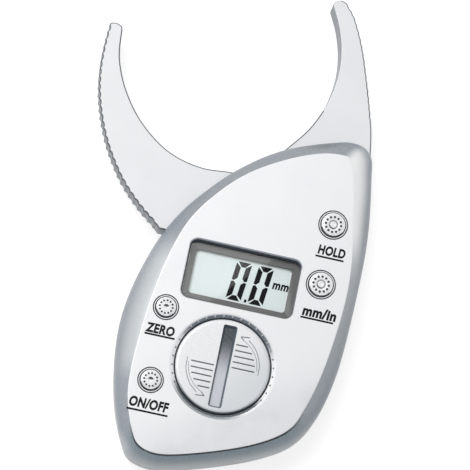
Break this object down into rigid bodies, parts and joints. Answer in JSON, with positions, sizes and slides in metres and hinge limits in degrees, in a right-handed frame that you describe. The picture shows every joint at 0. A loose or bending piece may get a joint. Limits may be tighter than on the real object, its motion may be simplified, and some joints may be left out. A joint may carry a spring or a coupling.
{
  "type": "digital body fat caliper",
  "caption": "Skinfold caliper with a flat moulded housing, crescent jaws, a digital readout, round push buttons and a round battery door with a coin slot.",
  "frame": {"origin": "the jaw's pivot axis, where it meets the surface that the caliper lies on", "axes": "+Z out of the front face, +Y along the jaws, +X along the display to the right"},
  "size_m": [0.0886, 0.1507, 0.0207],
  "materials": {
    "silver_plastic": "pale silver-white moulded plastic, fine satin",
    "jaw_plastic": "pale grey moulded plastic, satin",
    "grey_plastic": "mid grey plastic, satin",
    "clear_plastic": "clear polished lens",
    "display_glass": "pale grey-green reflective display",
    "button_silver": "bright silver-painted plastic",
    "steel": "plated steel",
    "spring_metal": "bronze spring sheet",
    "board_green": "green glass-fibre board",
    "black_plastic": "black moulded plastic",
    "gear_plastic": "natural acetal",
    "zebra_rubber": "layered connector rubber"
  },
  "bodies": {
    "housing": {"front_shell": "silver_plastic", "back_shell": "silver_plastic", "fixed_jaw": "jaw_plastic", "pivot_pin": "steel", "thrust_washer": "steel", "wave_washer": "spring_metal", "encoder_axle": "steel", "encoder_sensor": "black_plastic", "circuit_board": "board_green", "controller_chip": "black_plastic", "lcd_window": "clear_plastic", "lcd_frame": "grey_plastic", "lcd_glass": "display_glass", "zebra_strip_upper": "zebra_rubber", "zebra_strip_lower": "zebra_rubber", "key_switch_hold": "black_plastic", "key_switch_unit": "black_plastic", "key_switch_zero": "black_plastic", "key_switch_on_off": "black_plastic", "battery_cell": "steel", "contact_negative": "spring_metal", "contact_positive": "spring_metal", "jaw_screw_1": "steel", "jaw_screw_2": "steel", "case_screw_1": "steel", "case_screw_2": "steel", "case_screw_3": "steel", "case_screw_4": "steel", "board_screw_1": "steel", "board_screw_2": "steel", "board_screw_3": "steel", "board_screw_4": "steel"},
    "jaw": {"moving_jaw": "jaw_plastic"},
    "encoder": {"encoder_pinion": "gear_plastic", "encoder_disc": "black_plastic"},
    "door": {"battery_door": "silver_plastic"},
    "hold_button": {"button_hold": "button_silver"},
    "unit_button": {"button_unit": "button_silver"},
    "zero_button": {"button_zero": "button_silver"},
    "on_off_button": {"button_on_off": "button_silver"}
  },
  "joints": [
    {"name": "jaw_hinge", "type": "hinge", "parent": "housing", "child": "jaw", "pos_m": [0, 0, 0.0087], "axis": [0, 0, -1], "range_deg": [0, 52.6]},
    {"name": "encoder_spin", "type": "hinge", "parent": "housing", "child": "encoder", "pos_m": [0.00538, -0.02009, 0.0087], "axis": [0, 0, -1], "range_deg": [-176, 0]},
    {"name": "door_twist", "type": "hinge", "parent": "housing", "child": "door", "pos_m": [-0.0039, -0.0454, 0.0185], "axis": [0, 0, 1], "range_deg": [0, 60]},
    {"name": "hold_press", "type": "slide", "parent": "housing", "child": "hold_button", "axis": [0, 0, -1], "range_m": [0, 0.0006], "stiffness_N_per_m": 1000},
    {"name": "unit_press", "type": "slide", "parent": "housing", "child": "unit_button", "axis": [0, 0, -1], "range_m": [0, 0.0006], "stiffness_N_per_m": 1000},
    {"name": "zero_press", "type": "slide", "parent": "housing", "child": "zero_button", "axis": [0, 0, -1], "range_m": [0, 0.0006], "stiffness_N_per_m": 1000},
    {"name": "on_off_press", "type": "slide", "parent": "housing", "child": "on_off_button", "axis": [0, 0, -1], "range_m": [0, 0.0006], "stiffness_N_per_m": 1000}
  ],
  "couplings": [
    {"joint": "encoder_spin", "follows": "jaw_hinge", "ratio": -3.3333}
  ]
}
